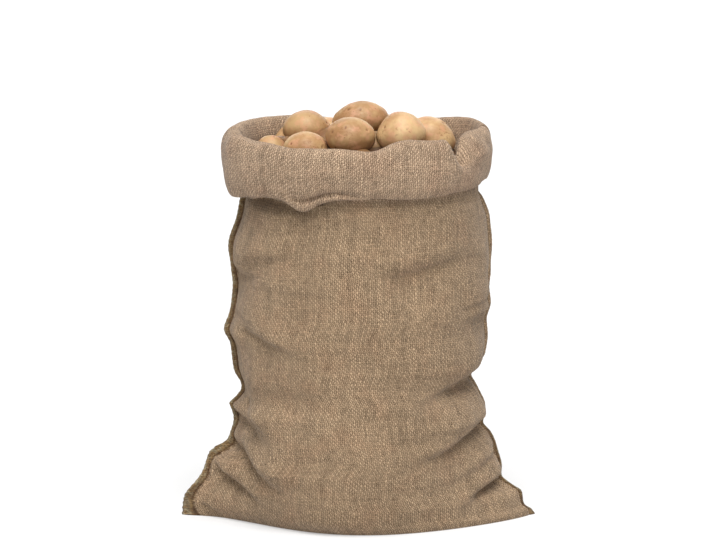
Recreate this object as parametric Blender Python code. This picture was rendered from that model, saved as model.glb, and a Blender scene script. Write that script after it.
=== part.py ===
"""A filled hessian sack: one length of cloth folded at the bottom and sewn up both sides, its mouth rolled
down twice into a cuff, standing on its flat bottom with its two lower corners spread as ears, and the
potatoes that show in its mouth. Metres, +Z up. The front faces -Y. The origin is on the floor under it.

A place on the cloth is given by its angle round the sack (0 the left seam, 90 the middle of the front, 180
the right seam, 270 the middle of the back) and its height.
"""

import math

import bmesh
import bpy
import numpy as np
from mathutils import Matrix, Vector, noise

# ---------------------------------------------------------------------------- driving sizes, in metres
CLOTH = 0.0025  # thickness of the woven cloth
SEAM_HALF = 0.0028  # half the thickness of the two layers where they are sewn together
LEFT_SEAM_WIDTH = 0.010  # how far each sewn edge stands out from the sack
RIGHT_SEAM_WIDTH = 0.007
SEAM_END = 0.560  # height at which the sewn edge has died out, behind the cuff
TIP_ANGLE = 0.016  # half the angle round the sack that the sewn edge's tip takes up
ROOT_ANGLE = 0.024  # half the angle at its root
SEAM_GAP = 0.0022  # the hollow inside the sack ends where the belly is this deep, before the sewn edge
SEAM_SPREAD = 2.5  # points of the hollow are moved along this many times as far as its end is
NECK_HEIGHT = 0.545  # the body ends here and the cuff's profile begins
POTATO_GAP = 0.0006  # left between potatoes, and between a potato and what it lies on

# Horizontal outline of the body at each height: front and back the depth of the belly, left_point and
# right_point how pointed the outline is at the seams: 0.5 is an ellipse's blunt end and over 1 a thin fin, as
# at the ears.
BODY_COLUMNS = ("height", "front", "back", "left_point", "right_point")
BODY = (
    (0.000, 0.143, 0.138, 1.72, 0.90),
    (0.012, 0.153, 0.149, 1.62, 0.90),
    (0.040, 0.164, 0.160, 1.38, 0.84),
    (0.080, 0.170, 0.167, 1.08, 0.76),
    (0.120, 0.171, 0.169, 0.80, 0.68),
    (0.170, 0.168, 0.167, 0.58, 0.58),
    (0.240, 0.163, 0.163, 0.50, 0.52),
    (0.310, 0.161, 0.161, 0.50, 0.50),
    (0.460, 0.154, 0.155, 0.50, 0.50),
    (0.550, 0.138, 0.139, 0.50, 0.50),
)
# Reach of the left and right seams at each height, to the root of the sewn edge.
SIDE_COLUMNS = ("height", "reach")
LEFT_SIDE = (
    (0.000, 0.277),
    (0.014, 0.281),
    (0.034, 0.273),
    (0.074, 0.243),
    (0.094, 0.236),
    (0.106, 0.232),
    (0.116, 0.222),
    (0.126, 0.205),
    (0.140, 0.197),
    (0.164, 0.191),
    (0.190, 0.197),
    (0.202, 0.186),
    (0.214, 0.179),
    (0.250, 0.190),
    (0.290, 0.196),
    (0.314, 0.206),
    (0.340, 0.198),
    (0.384, 0.192),
    (0.454, 0.198),
    (0.504, 0.184),
    (0.550, 0.176),
)
RIGHT_SIDE = (
    (0.000, 0.286),
    (0.008, 0.285),
    (0.018, 0.274),
    (0.040, 0.268),
    (0.052, 0.251),
    (0.068, 0.235),
    (0.082, 0.235),
    (0.118, 0.226),
    (0.140, 0.218),
    (0.158, 0.205),
    (0.182, 0.206),
    (0.218, 0.195),
    (0.238, 0.184),
    (0.254, 0.192),
    (0.272, 0.206),
    (0.300, 0.211),
    (0.328, 0.209),
    (0.356, 0.217),
    (0.384, 0.213),
    (0.440, 0.217),
    (0.498, 0.214),
    (0.530, 0.203),
    (0.550, 0.194),
)
# Where the seams are from front to back. The right one's sewn edge is folded to the back.
LEFT_SEAM_DEPTH = -0.012
RIGHT_SEAM_DEPTH = -0.006
LEFT_EDGE_TURN = 12  # degrees that the sewn edge turns to the back
RIGHT_EDGE_TURN = 40
# The sewn edge is ruffled: it turns this many degrees more or less, in waves this far apart.
RUFFLES = ((16, 0.068), (12, 0.103))
EDGE_FADE = 0.03  # the sewn edge dies out over this height

# The rolled cuff round the mouth: crest and lower edge in height, and how far it stands out from the neck.
CUFF_COLUMNS = ("angle", "crest", "lower_edge", "reach")
CUFF = (
    (0, 0.648, 0.542, 0.042),
    (15, 0.645, 0.543, 0.042),
    (35, 0.640, 0.552, 0.040),
    (50, 0.636, 0.556, 0.035),
    (62, 0.636, 0.545, 0.034),
    (80, 0.635, 0.556, 0.033),
    (92, 0.630, 0.557, 0.033),
    (112, 0.643, 0.555, 0.034),
    (129, 0.644, 0.557, 0.034),
    (138, 0.627, 0.558, 0.030),
    (150, 0.641, 0.559, 0.028),
    (162, 0.647, 0.559, 0.028),
    (180, 0.650, 0.556, 0.027),
    (205, 0.652, 0.553, 0.030),
    (235, 0.640, 0.550, 0.034),
    (270, 0.633, 0.548, 0.035),
    (305, 0.647, 0.547, 0.035),
    (335, 0.648, 0.545, 0.039),
)
# The cloth's path through the cuff, from the neck over the crest, down, under and up inside to its hem.
# out is a share of the cuff's reach, up a share of its height.
CUFF_PROFILE_COLUMNS = ("out", "up")
CUFF_PROFILE = (
    (0.00, -0.06),
    (0.00, 0.20),
    (0.03, 0.50),
    (0.12, 0.80),
    (0.34, 0.985),
    (0.66, 0.985),
    (0.91, 0.84),
    (1.00, 0.60),
    (0.96, 0.34),
    (0.85, 0.12),
    (0.66, 0.00),
    (0.50, 0.10),
    (0.44, 0.32),
    (0.42, 0.60),
)

PROFILE_STEP = 0.01  # share of the path over which its direction is taken

# Creases: each runs from its start to its end past a middle, fading to nothing at the end, and at the start
# too unless it starts in a seam. depth is how far the trough goes in, bulge the swell above it, above and
# below its width on either side, and droop how far the swell hangs over the trough.
CREASE_COLUMNS = (
    "name", "start_angle", "start_height", "mid_angle", "mid_height", "end_angle", "end_height",
    "depth", "bulge", "above", "below", "droop", "from_seam",
)
CREASES = (
    ("right_upper", 174, 0.243, 149, 0.236, 121, 0.211, 0.015, 0.011, 0.028, 0.026, 0.006, True),
    ("right_middle", 175, 0.162, 140, 0.141, 106, 0.106, 0.019, 0.013, 0.030, 0.030, 0.007, True),
    ("right_lower", 176, 0.067, 149, 0.053, 124, 0.023, 0.011, 0.009, 0.020, 0.022, 0.003, True),
    ("left_upper", 12, 0.330, 42, 0.314, 66, 0.278, 0.008, 0.005, 0.026, 0.028, 0.002, False),
    ("left_notch", 12, 0.216, 32, 0.178, 52, 0.130, 0.009, 0.006, 0.024, 0.030, 0.002, False),
    ("left_ear", 16, 0.136, 43, 0.097, 70, 0.045, 0.015, 0.010, 0.026, 0.028, 0.003, False),
    ("left_toe", 10, 0.092, 37, 0.066, 58, 0.026, 0.009, 0.006, 0.016, 0.018, 0.002, False),
    ("left_high", 4, 0.410, 22, 0.412, 40, 0.418, 0.009, 0.005, 0.022, 0.026, 0.003, True),
    ("left_chest", 10, 0.424, 42, 0.444, 84, 0.470, 0.005, 0.004, 0.036, 0.040, 0.000, False),
    ("right_chest", 98, 0.416, 122, 0.437, 160, 0.466, 0.007, 0.005, 0.030, 0.036, 0.001, False),
    ("right_bump", 176, 0.347, 160, 0.345, 140, 0.338, 0.008, 0.005, 0.020, 0.022, 0.002, True),
    ("back_right_low", 185, 0.150, 215, 0.125, 255, 0.080, 0.022, 0.013, 0.034, 0.036, 0.006, True),
    ("back_right_high", 185, 0.285, 212, 0.272, 244, 0.245, 0.015, 0.009, 0.032, 0.034, 0.004, True),
    ("back_left_low", 355, 0.165, 325, 0.135, 288, 0.085, 0.021, 0.013, 0.034, 0.036, 0.006, True),
    ("back_left_high", 355, 0.300, 330, 0.292, 298, 0.262, 0.014, 0.008, 0.032, 0.036, 0.004, True),
    ("back_chest", 230, 0.430, 268, 0.415, 312, 0.436, 0.009, 0.005, 0.040, 0.044, 0.000, False),
)
SEAM_HOLD = 0.050  # the seams keep their own outline, so the creases start this far from them
FADE_IN = 0.3  # share of its length over which a crease begins
FADE_OUT = 0.45  # share of its length at which it begins to die out
MEAN_RADIUS = 0.185  # turns an angle round the sack into a distance along the cloth
TROUGH_LIP = 0.35  # the trough's width above its floor, as a share of its width below

# Slow lumps that the load presses into the cloth.
LUMP_SIZE = 0.085
LUMP_HEIGHT = 0.005
LUMP_SEED = Vector((3.1, 7.7, 1.9))
LUMP_FREE = 0.4  # angle from a seam at which the lumps have their full height
# Nothing moves the cloth off the floor, and creases and lumps have their full depth above this height.
TOE = 0.02

# How finely the solid is faceted.
FRONT_STEPS = 26
BACK_STEPS = 18
LOW_ROWS = 20
HIGH_ROWS = 13
ROW_BREAK = 0.260  # rows are closer below this height, where the creases are
CUFF_ROWS = 15


# ---------------------------------------------------------------------------- interpolation
def column(rows, columns, name):
    """One column of a table, as an array."""
    return np.array([row[columns.index(name)] for row in rows], float)


def smooth(places, values, at):
    """A cubic through a table's values that never overshoots between two rows."""
    places, values = np.asarray(places, float), np.asarray(values, float)
    at = np.clip(np.asarray(at, float), places[0], places[-1])
    steps = np.diff(places)
    slopes = np.diff(values) / steps
    tangents = np.zeros(len(values))
    tangents[0], tangents[-1] = slopes[0], slopes[-1]
    same_way = slopes[:-1] * slopes[1:] > 0
    means = 2 * slopes[:-1] * slopes[1:] / np.where(same_way, slopes[:-1] + slopes[1:], 1)
    tangents[1:-1] = np.where(same_way, means, 0)
    index = np.clip(np.searchsorted(places, at, side="right") - 1, 0, len(steps) - 1)
    step = steps[index]
    s = (at - places[index]) / step
    return (
        values[index] * (1 + 2 * s) * (1 - s) ** 2
        + tangents[index] * step * s * (1 - s) ** 2
        + values[index + 1] * s * s * (3 - 2 * s)
        + tangents[index + 1] * step * s * s * (s - 1)
    )


def smooth_round(rows, columns, name, degrees):
    """The same through a table that goes once round the sack and closes on itself."""
    places, values = column(rows, columns, "angle"), column(rows, columns, name)
    places = np.concatenate([places[-2:] - 360, places, places[:2] + 360])
    values = np.concatenate([values[-2:], values, values[:2]])
    return smooth(places, values, np.asarray(degrees) % 360)


def fade(t):
    """0 at 0 and 1 at 1, level at both ends."""
    t = np.clip(t, 0, 1)
    return t * t * (3 - 2 * t)


# ---------------------------------------------------------------------------- the cloth's shape
def crease_shift(angle, height):
    """How far the creases move a place on the cloth: (outward, upward)."""
    outward, upward = np.zeros_like(angle), np.zeros_like(angle)
    for row in CREASES:
        crease = dict(zip(CREASE_COLUMNS, row))
        points = [
            np.array([math.radians(crease[f"{end}_angle"]) * MEAN_RADIUS, crease[f"{end}_height"]])
            for end in ("start", "mid", "end")
        ]
        along, across, nearest = distance_to_path(angle * MEAN_RADIUS, height, points)
        strength = 1 - fade((along - FADE_OUT) / (1 - FADE_OUT))
        if not crease["from_seam"]:
            strength = strength * fade(along / FADE_IN)
        strength = strength * (1 - fade((nearest - abs(across)) / crease["above"]))
        strength = strength * fade(from_seam(angle) * MEAN_RADIUS / SEAM_HOLD)
        high, low = np.maximum(across, 0), np.maximum(-across, 0)
        lip = TROUGH_LIP * crease["below"]
        trough = np.exp(-((high / lip) ** 2)) * np.exp(-((low / crease["below"]) ** 1.6))
        swell = high / crease["above"] * np.exp(1 - high / crease["above"])
        outward += strength * (crease["bulge"] * swell - crease["depth"] * trough)
        upward -= strength * crease["droop"] * swell
    return outward, upward


def from_seam(angle):
    """The angle to the nearer seam."""
    return np.abs((angle + np.pi / 2) % np.pi - np.pi / 2)


def distance_to_path(x, y, points):
    """For each place, how far along a curve through three points it lies (0 to 1), how far above the curve,
    and its distance from the curve."""
    first, middle, last = points
    handle = 2 * middle - (first + last) / 2
    steps = np.linspace(0, 1, 25)
    shares = (1 - steps) ** 2, 2 * steps * (1 - steps), steps**2
    curve = sum(np.outer(share, point) for share, point in zip(shares, (first, handle, last)))
    turn = np.gradient(curve, axis=0)
    turn /= np.linalg.norm(turn, axis=1)[:, None]
    up = np.stack([-turn[:, 1], turn[:, 0]], axis=1) * np.sign(turn[:, :1])
    from_x = x[..., None] - curve[:, 0]
    from_y = y[..., None] - curve[:, 1]
    distance = np.hypot(from_x, from_y)
    index = distance.argmin(axis=-1)
    pick = index[..., None]
    across = (
        np.take_along_axis(from_x, pick, -1)[..., 0] * up[index, 0]
        + np.take_along_axis(from_y, pick, -1)[..., 0] * up[index, 1]
    )
    return steps[index], across, np.take_along_axis(distance, pick, -1)[..., 0]


def lumps(points):
    """Slow swells and hollows, the same on both faces of the cloth."""
    flat = points.reshape(-1, 3) / LUMP_SIZE
    values = [noise.noise(Vector(p) + LUMP_SEED) for p in flat]
    return LUMP_HEIGHT * np.array(values).reshape(points.shape[:-1])


def body_table(height):
    """Each column of the body's table at a height."""
    heights = column(BODY, BODY_COLUMNS, "height")
    return {name: smooth(heights, column(BODY, BODY_COLUMNS, name), height) for name in BODY_COLUMNS[1:]}


def outline(angle, height, inset):
    """A place on the body's smooth outline, inset from its outer face, and the way out of the sack there."""
    table = body_table(height)
    left, right = (
        smooth(column(rows, SIDE_COLUMNS, "height"), column(rows, SIDE_COLUMNS, "reach"), height)
        for rows in (LEFT_SIDE, RIGHT_SIDE)
    )
    facing = np.sign(np.sin(angle))
    depth = np.where(facing > 0, table["front"], table["back"])
    if inset > 0:
        angle = clear_of_seams(angle, depth, table, SEAM_GAP + inset - CLOTH)
    angle = past_edge(angle)
    across, ahead = -np.cos(angle), np.sin(angle)
    side = (across + 1) / 2
    point = table["left_point"] * (1 - side) + table["right_point"] * side
    belly = depth * np.abs(ahead) ** (2 * point) + SEAM_HALF
    half_width = (left + right) / 2
    x = (right - left) / 2 + across * (half_width - inset)
    y = LEFT_SEAM_DEPTH * (1 - side) + RIGHT_SEAM_DEPTH * side - facing * (belly - inset)
    out = np.stack([across / half_width, -ahead / depth, np.zeros_like(x)], axis=-1)
    out /= np.linalg.norm(out, axis=-1)[..., None]
    return np.stack([x, y, height * np.ones_like(x)], axis=-1), out


def past_edge(angle):
    """Angles spread so that the outline begins at the root of each sewn edge and not at the seam's middle."""
    near = from_seam(angle)
    spread = np.maximum(near - ROOT_ANGLE, 0) * (np.pi / 2) / (np.pi / 2 - ROOT_ANGLE)
    return np.where(np.sin(2 * angle) > 0, angle - near + spread, angle + near - spread)


def clear_of_seams(angle, depth, table, gap):
    """Angles near a seam moved away from it: the hollow ends where the belly is as deep as the gap."""
    turned = np.sin(angle) < 0
    folded = np.where(turned, 2 * np.pi - angle, angle)
    for point, far in ((table["left_point"], False), (table["right_point"], True)):
        limit = np.arcsin((gap / depth) ** (0.5 / point)) + ROOT_ANGLE
        near = np.pi - folded if far else folded
        reach = SEAM_SPREAD * limit
        near = np.where(near < reach, limit + near * (reach - limit) / reach, near)
        folded = np.pi - near if far else near
    return np.where(turned, 2 * np.pi - folded, folded)


def seam_flange(angle, height):
    """How far the sewn edge moves a place along X and along Y, at the left and the right seam."""
    share = 1 - np.clip((from_seam(angle) - TIP_ANGLE) / (ROOT_ANGLE - TIP_ANGLE), 0, 1)
    at_left = np.cos(angle) > 0
    whole = np.where(at_left, LEFT_SEAM_WIDTH, RIGHT_SEAM_WIDTH)
    width = share * whole * fade((SEAM_END - height) / EDGE_FADE)
    ruffle = sum(turn * np.sin(height * 2 * np.pi / wave + wave) for turn, wave in RUFFLES)
    turn = np.radians(np.where(at_left, LEFT_EDGE_TURN, RIGHT_EDGE_TURN) + ruffle)
    return np.where(at_left, -1, 1) * width * np.cos(turn), width * np.sin(turn)


def body_point(angle, height, inset=0.0, edge=True):
    """A place on the body's outer face, or about that much inside it, with or without the sewn edge."""
    angle, height = np.broadcast_arrays(np.asarray(angle, float) % (2 * np.pi), np.asarray(height, float))
    point, out = outline(angle, height, inset)
    outward, upward = crease_shift(angle, height)
    settled = fade(height / TOE)
    outward = outward + lumps(outline(angle, height, 0)[0]) * fade(from_seam(angle) / LUMP_FREE)
    outward = outward * settled
    if edge:
        sideways, back = seam_flange(angle, height)
        point = point + np.stack([sideways, back, np.zeros_like(back)], axis=-1)
    point = point + out * outward[..., None]
    point[..., 2] += upward * settled
    return point, out


def inner_rings(angles, heights):
    """The cloth's inner face: the outer one moved in by its thickness, its sides kept off the seams."""
    grid = []
    for height in heights:
        level = np.full_like(angles, height)
        depth = np.where(np.sin(angles) > 0, body_table(level)["front"], body_table(level)["back"])
        hollow = clear_of_seams(angles % (2 * np.pi), depth, body_table(level), SEAM_GAP)
        grid.append(body_point(hollow, level, edge=False)[0])
    grid = np.array(grid)
    round_way = np.roll(grid, -1, axis=1) - np.roll(grid, 1, axis=1)
    up_way = np.gradient(grid, axis=0)
    normal = np.cross(round_way, up_way)
    normal /= np.linalg.norm(normal, axis=-1)[..., None]
    at_seam = from_seam(angles) < 2 * ROOT_ANGLE
    square = np.stack([-np.sign(np.cos(angles)), -np.sign(np.sin(angles)), np.zeros_like(angles)], axis=-1)
    inward = grid - np.where(at_seam[:, None], square, normal) * CLOTH
    level = np.zeros_like(angles)
    inward[0] = outline(angles % (2 * np.pi), level, CLOTH / 2)[0]
    inward[0, :, 2] = CLOTH
    return list(inward)


def cuff_point(angle, share, inset):
    """A place on the cuff, inset from the cloth's outer face: share runs from the neck, 0, to the hem, 1."""
    angle = np.asarray(angle, float) % (2 * np.pi)
    neck, out = body_point(angle, np.full_like(angle, NECK_HEIGHT), CLOTH / 2, edge=False)
    degrees = np.degrees(angle)
    crest, lower, reach = (smooth_round(CUFF, CUFF_COLUMNS, name, degrees) for name in CUFF_COLUMNS[1:])
    stations = np.arange(len(CUFF_PROFILE)) / (len(CUFF_PROFILE) - 1)
    path = {}
    for name in CUFF_PROFILE_COLUMNS:
        path[name] = [loop_value(stations, column(CUFF_PROFILE, CUFF_PROFILE_COLUMNS, name), share + d)
                      for d in (-PROFILE_STEP, 0, PROFILE_STEP)]
    far, high = reach * path["out"][1], lower + (crest - lower) * path["up"][1]
    run = reach * (path["out"][2] - path["out"][0])
    rise = (crest - lower) * (path["up"][2] - path["up"][0])
    length = np.hypot(run, rise)
    offset = CLOTH / 2 - inset
    point = neck + out * (far + offset * rise / length)[..., None]
    point[..., 2] = high - offset * run / length
    return point


def loop_value(stations, values, at):
    """A Catmull-Rom curve through evenly spaced values."""
    at = min(max(at, 0.0), 1.0) * (len(values) - 1)
    i = min(int(at), len(values) - 2)
    s = at - i
    a, b, c, d = (values[min(max(j, 0), len(values) - 1)] for j in (i - 1, i, i + 1, i + 2))
    return b + 0.5 * s * (c - a + s * (2 * a - 5 * b + 4 * c - d + s * (3 * (b - c) + d - a)))


def ring_angles():
    """Angles of one ring's points: four about each seam, the rest spread over the front and the back."""
    about_seam = np.array([-ROOT_ANGLE, -TIP_ANGLE, TIP_ANGLE, ROOT_ANGLE])
    front = np.linspace(0, np.pi, FRONT_STEPS + 1)[1:-1]
    back = np.linspace(np.pi, 2 * np.pi, BACK_STEPS + 1)[1:-1]
    return np.concatenate([about_seam, front, np.pi + about_seam, back])


def body_heights():
    """Heights of the body's rows: close at the toe, closer low down than high up."""
    toe = [0.0, 0.005]
    low = np.linspace(0.014, ROW_BREAK, LOW_ROWS)
    high = np.linspace(ROW_BREAK, NECK_HEIGHT - 0.010, HIGH_ROWS + 1)[1:]
    return np.concatenate([toe, low, high])


def sack_rings():
    """The whole solid's rings: up the inner face, over the cuff to its hem, and down the outer face."""
    angles, heights = ring_angles(), body_heights()
    shares = np.linspace(0, 1, CUFF_ROWS)
    inner = inner_rings(angles, heights)
    inner_cuff = [cuff_point(angles, share, CLOTH) for share in shares]
    outer_cuff = [cuff_point(angles, share, 0) for share in shares[::-1]]
    outer = [body_point(angles, height)[0] for height in heights[::-1]]
    return inner + inner_cuff + outer_cuff + outer


def loft(name, rings, collection):
    """A closed solid lofted through rings of the same number of points, with a flat face over each end. Its
    two halves are split into triangles as mirror images, so that a sheet's two faces keep their distance."""
    mesh = bmesh.new()
    loops = [[mesh.verts.new(point) for point in ring] for ring in rings]
    count = len(loops[0])
    for level, (low, high) in enumerate(zip(loops, loops[1:])):
        for i in range(count):
            j = (i + 1) % count
            if 2 * level < len(loops) - 1:
                mesh.faces.new((low[i], high[i], high[j]))
                mesh.faces.new((low[i], high[j], low[j]))
            else:
                mesh.faces.new((low[i], high[i], low[j]))
                mesh.faces.new((high[i], high[j], low[j]))
    mesh.faces.new(loops[0])
    mesh.faces.new(loops[-1])
    bmesh.ops.recalc_face_normals(mesh, faces=mesh.faces)
    if mesh.calc_volume(signed=True) < 0:
        bmesh.ops.reverse_faces(mesh, faces=mesh.faces)
    return linked(name, mesh, collection)


def linked(name, mesh, collection):
    """An object of this bmesh, shaded smooth, in the collection."""
    data = bpy.data.meshes.new(name)
    mesh.to_mesh(data)
    mesh.free()
    data.shade_smooth()
    made = bpy.data.objects.new(name, data)
    collection.objects.link(made)
    return made


# ---------------------------------------------------------------------------- the potatoes
# Each potato's middle, its half sizes along its own length, width and height, how far its length is turned
# round from +X and tipped up, and how much one side is hollowed like a kidney.
POTATO_COLUMNS = ("name", "x", "y", "z", "length", "width", "height", "turn", "tip", "bend")
POTATOES = (
    ("potato_front_middle", -0.009, -0.077, 0.644, 0.041, 0.034, 0.029, -8, 0, 0.02),
    ("potato_front_left", -0.080, -0.073, 0.624, 0.038, 0.031, 0.025, 12, -3, 0.04),
    ("potato_front_right", 0.074, -0.070, 0.648, 0.040, 0.034, 0.032, 14, 8, 0.05),
    ("potato_middle_left", -0.080, 0.009, 0.644, 0.040, 0.032, 0.027, -6, -4, 0.06),
    ("potato_middle", 0.008, 0.004, 0.662, 0.047, 0.031, 0.025, 6, 7, 0.10),
    ("potato_middle_right", 0.122, -0.016, 0.635, 0.043, 0.032, 0.028, -16, -18, 0.05),
    ("potato_left", -0.138, -0.033, 0.616, 0.027, 0.023, 0.021, 30, 0, 0.03),
    ("potato_back_left", -0.100, 0.066, 0.615, 0.036, 0.029, 0.025, 38, 4, 0.05),
    ("potato_back_middle_left", -0.045, 0.085, 0.622, 0.040, 0.031, 0.026, -12, 0, 0.05),
    ("potato_back_middle_right", 0.045, 0.081, 0.626, 0.041, 0.031, 0.027, 10, 3, 0.04),
    ("potato_back_right", 0.125, 0.057, 0.615, 0.037, 0.032, 0.026, -34, 0, 0.04),
)
POTATO_ROUND = 16  # points round a potato
POTATO_LONG = 9  # bands from end to end
POTATO_LUMP = 0.045  # size of the knobs on a potato, as a share of its size
POTATO_KNOBS = 1.3  # knobs for each half size
POTATO_BLUNT = 0.10  # how much fuller a potato is than an ellipsoid
POTATO_SEEDS = 40  # makes each place's knobs differ

# The potatoes under the ones that show are one solid that fills the sack, its top a heap of rounded tops.
FILL_CLEARANCE = 0.016  # from the cloth's outer face
FILL_SPAN = 0.017  # the cloth this far above and below counts too
FILL_RIM = 0.584  # height of the heap's edge
FILL_DOME = 0.040  # how far its middle stands above its edge
FILL_BOTTOM = 0.008
FILL_ROUND = 32
FILL_ROWS = 18
FILL_BANDS = 8
FILL_PITCH = 0.070  # between the middles of the rounded tops
FILL_BUMP = 0.017  # how far they stand up
FILL_SPREAD = 0.62  # each is this share of the pitch in radius
HEAP_ROWS = 3  # rows of tops on either side of the middle
HEAP_PLACES = 4  # tops in a row on either side of its middle


def potato_points(row, grow=0.0):
    """A potato as a bmesh in place, its skin moved outward by grow."""
    potato = dict(zip(POTATO_COLUMNS, row))
    mesh = bmesh.new()
    bmesh.ops.create_uvsphere(mesh, u_segments=POTATO_ROUND, v_segments=POTATO_LONG, radius=1)
    half = Vector((potato["length"], potato["width"], potato["height"]))
    seed = Vector((potato["x"], potato["y"], potato["z"])) * POTATO_SEEDS
    for vert in mesh.verts:
        along = vert.co.z  # the sphere's poles become the potato's ends
        unit = Vector((along, vert.co.x, vert.co.y))
        knob = 1 + POTATO_LUMP * noise.noise(unit * POTATO_KNOBS + seed)
        fat = 1 + POTATO_BLUNT * (1 - along * along) ** 2
        spot = Vector((half.x * unit.x, half.y * unit.y * fat, half.z * unit.z * fat)) * knob
        spot.z -= potato["bend"] * potato["length"] * along * along
        away = Vector((unit.x / half.x, unit.y / half.y, unit.z / half.z)).normalized()
        vert.co = spot + away * grow
    turn = Matrix.Rotation(math.radians(potato["turn"]), 4, "Z")
    tip = Matrix.Rotation(-math.radians(potato["tip"]), 4, "Y")
    place = Matrix.Translation((potato["x"], potato["y"], potato["z"]))
    bmesh.ops.transform(mesh, matrix=place @ turn @ tip, verts=mesh.verts)
    bmesh.ops.recalc_face_normals(mesh, faces=mesh.faces)
    return mesh


def cut(solid, cutter):
    """Cuts the solid by a cutter, which goes with the other cutters."""
    boolean = solid.modifiers.new(f"clear of {cutter.name}", "BOOLEAN")
    boolean.operation = "DIFFERENCE"
    boolean.object = cutter


def make_potatoes(collection, cutters):
    """The potatoes that show, each kept clear of the ones before it, and their grown copies."""
    made, grown = [], []
    for row in POTATOES:
        potato = linked(row[0], potato_points(row), collection)
        for other in grown:
            if near(potato, other):
                cut(potato, other)
        cutter = linked(f"clear_{row[0]}", potato_points(row, POTATO_GAP), cutters)
        cutter.hide_render = True
        cutter.display_type = "WIRE"
        made.append(potato)
        grown.append(cutter)
    return made, grown


def near(first, second):
    """Whether two objects' boxes meet."""
    boxes = [np.array([vert.co for vert in one.data.vertices]) for one in (first, second)]
    lows, highs = [box.min(0) for box in boxes], [box.max(0) for box in boxes]
    return bool((lows[0] < highs[1]).all() and (lows[1] < highs[0]).all())


def heap_height(x, y):
    """Height of the heap of rounded tops over a place: the highest of the tops about it."""
    row_step = FILL_PITCH * math.sqrt(3) / 2
    best = 0.0
    for row in range(-HEAP_ROWS, HEAP_ROWS + 1):
        for place in range(-HEAP_PLACES, HEAP_PLACES + 1):
            top_x = (place + 0.5 * (row % 2)) * FILL_PITCH
            top_y = row * row_step
            away = math.hypot(x - top_x, y - top_y) / (FILL_PITCH * FILL_SPREAD)
            best = max(best, 1 - away * away)
    return FILL_BUMP * best


def make_fill(collection):
    """The potatoes under the ones that show: up the inside of the sack, then in over the heap."""
    angles = (np.arange(FILL_ROUND) + 0.5) * 2 * np.pi / FILL_ROUND
    rings = [fill_ring(angles, height) for height in np.linspace(FILL_BOTTOM, FILL_RIM, FILL_ROWS)]
    rim = rings[-1]
    middle = rim.mean(axis=0)
    for band in range(1, FILL_BANDS):
        share = 1 - band / FILL_BANDS
        ring = middle + (rim - middle) * share
        rise = FILL_DOME * math.sin(math.acos(share))
        ring[:, 2] = rim[:, 2] + rise + [heap_height(x, y) for x, y, _ in ring]
        rings.append(ring)
    return loft("potato_fill", rings, collection)


def fill_ring(angles, height):
    """The filling's outline at a height: inside the cloth and its creases there and close by."""
    rings = []
    for level in (height - FILL_SPAN, height, height + FILL_SPAN):
        level = np.full_like(angles, min(max(level, 0), NECK_HEIGHT))
        ring, out = outline(angles, level, FILL_CLEARANCE)
        outward, _ = crease_shift(angles, level)
        rings.append(ring + out * np.minimum(outward, 0)[:, None])
    rings = np.array(rings)
    nearest = np.hypot(rings[..., 0], rings[..., 1]).argmin(axis=0)
    ring = rings[nearest, np.arange(len(angles))]
    ring[:, 2] = height
    return ring


# ---------------------------------------------------------------------------- materials and the whole
# Colour, roughness and metallic value of each material.
MATERIALS = {
    "hessian": ((0.46, 0.33, 0.20), 0.95, 0.0),
    "potato_skin": ((0.72, 0.47, 0.24), 0.60, 0.0),
}


def material(name):
    """A Principled material by its name in the table."""
    colour, roughness, metallic = MATERIALS[name]
    made = bpy.data.materials.new(name)
    made.use_nodes = True
    shader = made.node_tree.nodes["Principled BSDF"]
    shader.inputs["Base Color"].default_value = (*colour, 1)
    shader.inputs["Roughness"].default_value = roughness
    shader.inputs["Metallic"].default_value = metallic
    return made


def new_collection(name):
    made = bpy.data.collections.new(name)
    bpy.context.scene.collection.children.link(made)
    return made


def main():
    for leftover in list(bpy.data.objects):
        bpy.data.objects.remove(leftover)
    collection, cutters = new_collection("hessian_sack"), new_collection("cutters")
    hessian, skin = (material(name) for name in MATERIALS)
    sack = loft("sack", sack_rings(), collection)
    sack.data.materials.append(hessian)
    potatoes, grown = make_potatoes(collection, cutters)
    for potato in potatoes:
        potato.data.materials.append(skin)
    fill = make_fill(collection)
    fill.data.materials.append(skin)
    for cutter in grown:
        if near(fill, cutter):
            cut(fill, cutter)


main()
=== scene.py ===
"""The looks of the filled hessian sack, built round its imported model: the cloth as one fine folded sheet with
its weave, the thread of its side seams, and the potatoes in its mouth. Metres, +Z up, the front faces -Y.

A place on the cloth is given by its angle round the sack and its height, as in the part's source. 0 is the
left seam, 90 the middle of the front, 180 the right seam and 270 the middle of the back.
"""

import itertools
import math
import random

import bmesh
import bpy
import numpy as np
from mathutils import Matrix, Vector, noise
from mathutils.bvhtree import BVHTree


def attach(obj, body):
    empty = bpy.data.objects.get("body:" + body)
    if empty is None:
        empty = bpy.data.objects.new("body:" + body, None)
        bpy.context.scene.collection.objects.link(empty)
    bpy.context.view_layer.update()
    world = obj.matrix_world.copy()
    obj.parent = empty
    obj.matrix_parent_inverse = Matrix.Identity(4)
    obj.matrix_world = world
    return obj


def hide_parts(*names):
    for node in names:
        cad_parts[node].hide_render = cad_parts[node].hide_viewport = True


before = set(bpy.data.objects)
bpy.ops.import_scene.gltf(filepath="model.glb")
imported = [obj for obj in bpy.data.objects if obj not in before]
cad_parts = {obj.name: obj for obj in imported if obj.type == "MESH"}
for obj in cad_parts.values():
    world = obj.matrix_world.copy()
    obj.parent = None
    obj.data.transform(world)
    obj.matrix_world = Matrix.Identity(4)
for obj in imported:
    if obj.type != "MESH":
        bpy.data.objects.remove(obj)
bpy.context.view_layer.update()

# ---- the sack's sizes, as in the solid
# Lengths are in metres, but in BODY, SEAM_REACH, EDGE_WIDER, CUFF and the creases they are in millimetres.
CLOTH = 0.0025  # thickness of the woven cloth
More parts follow.
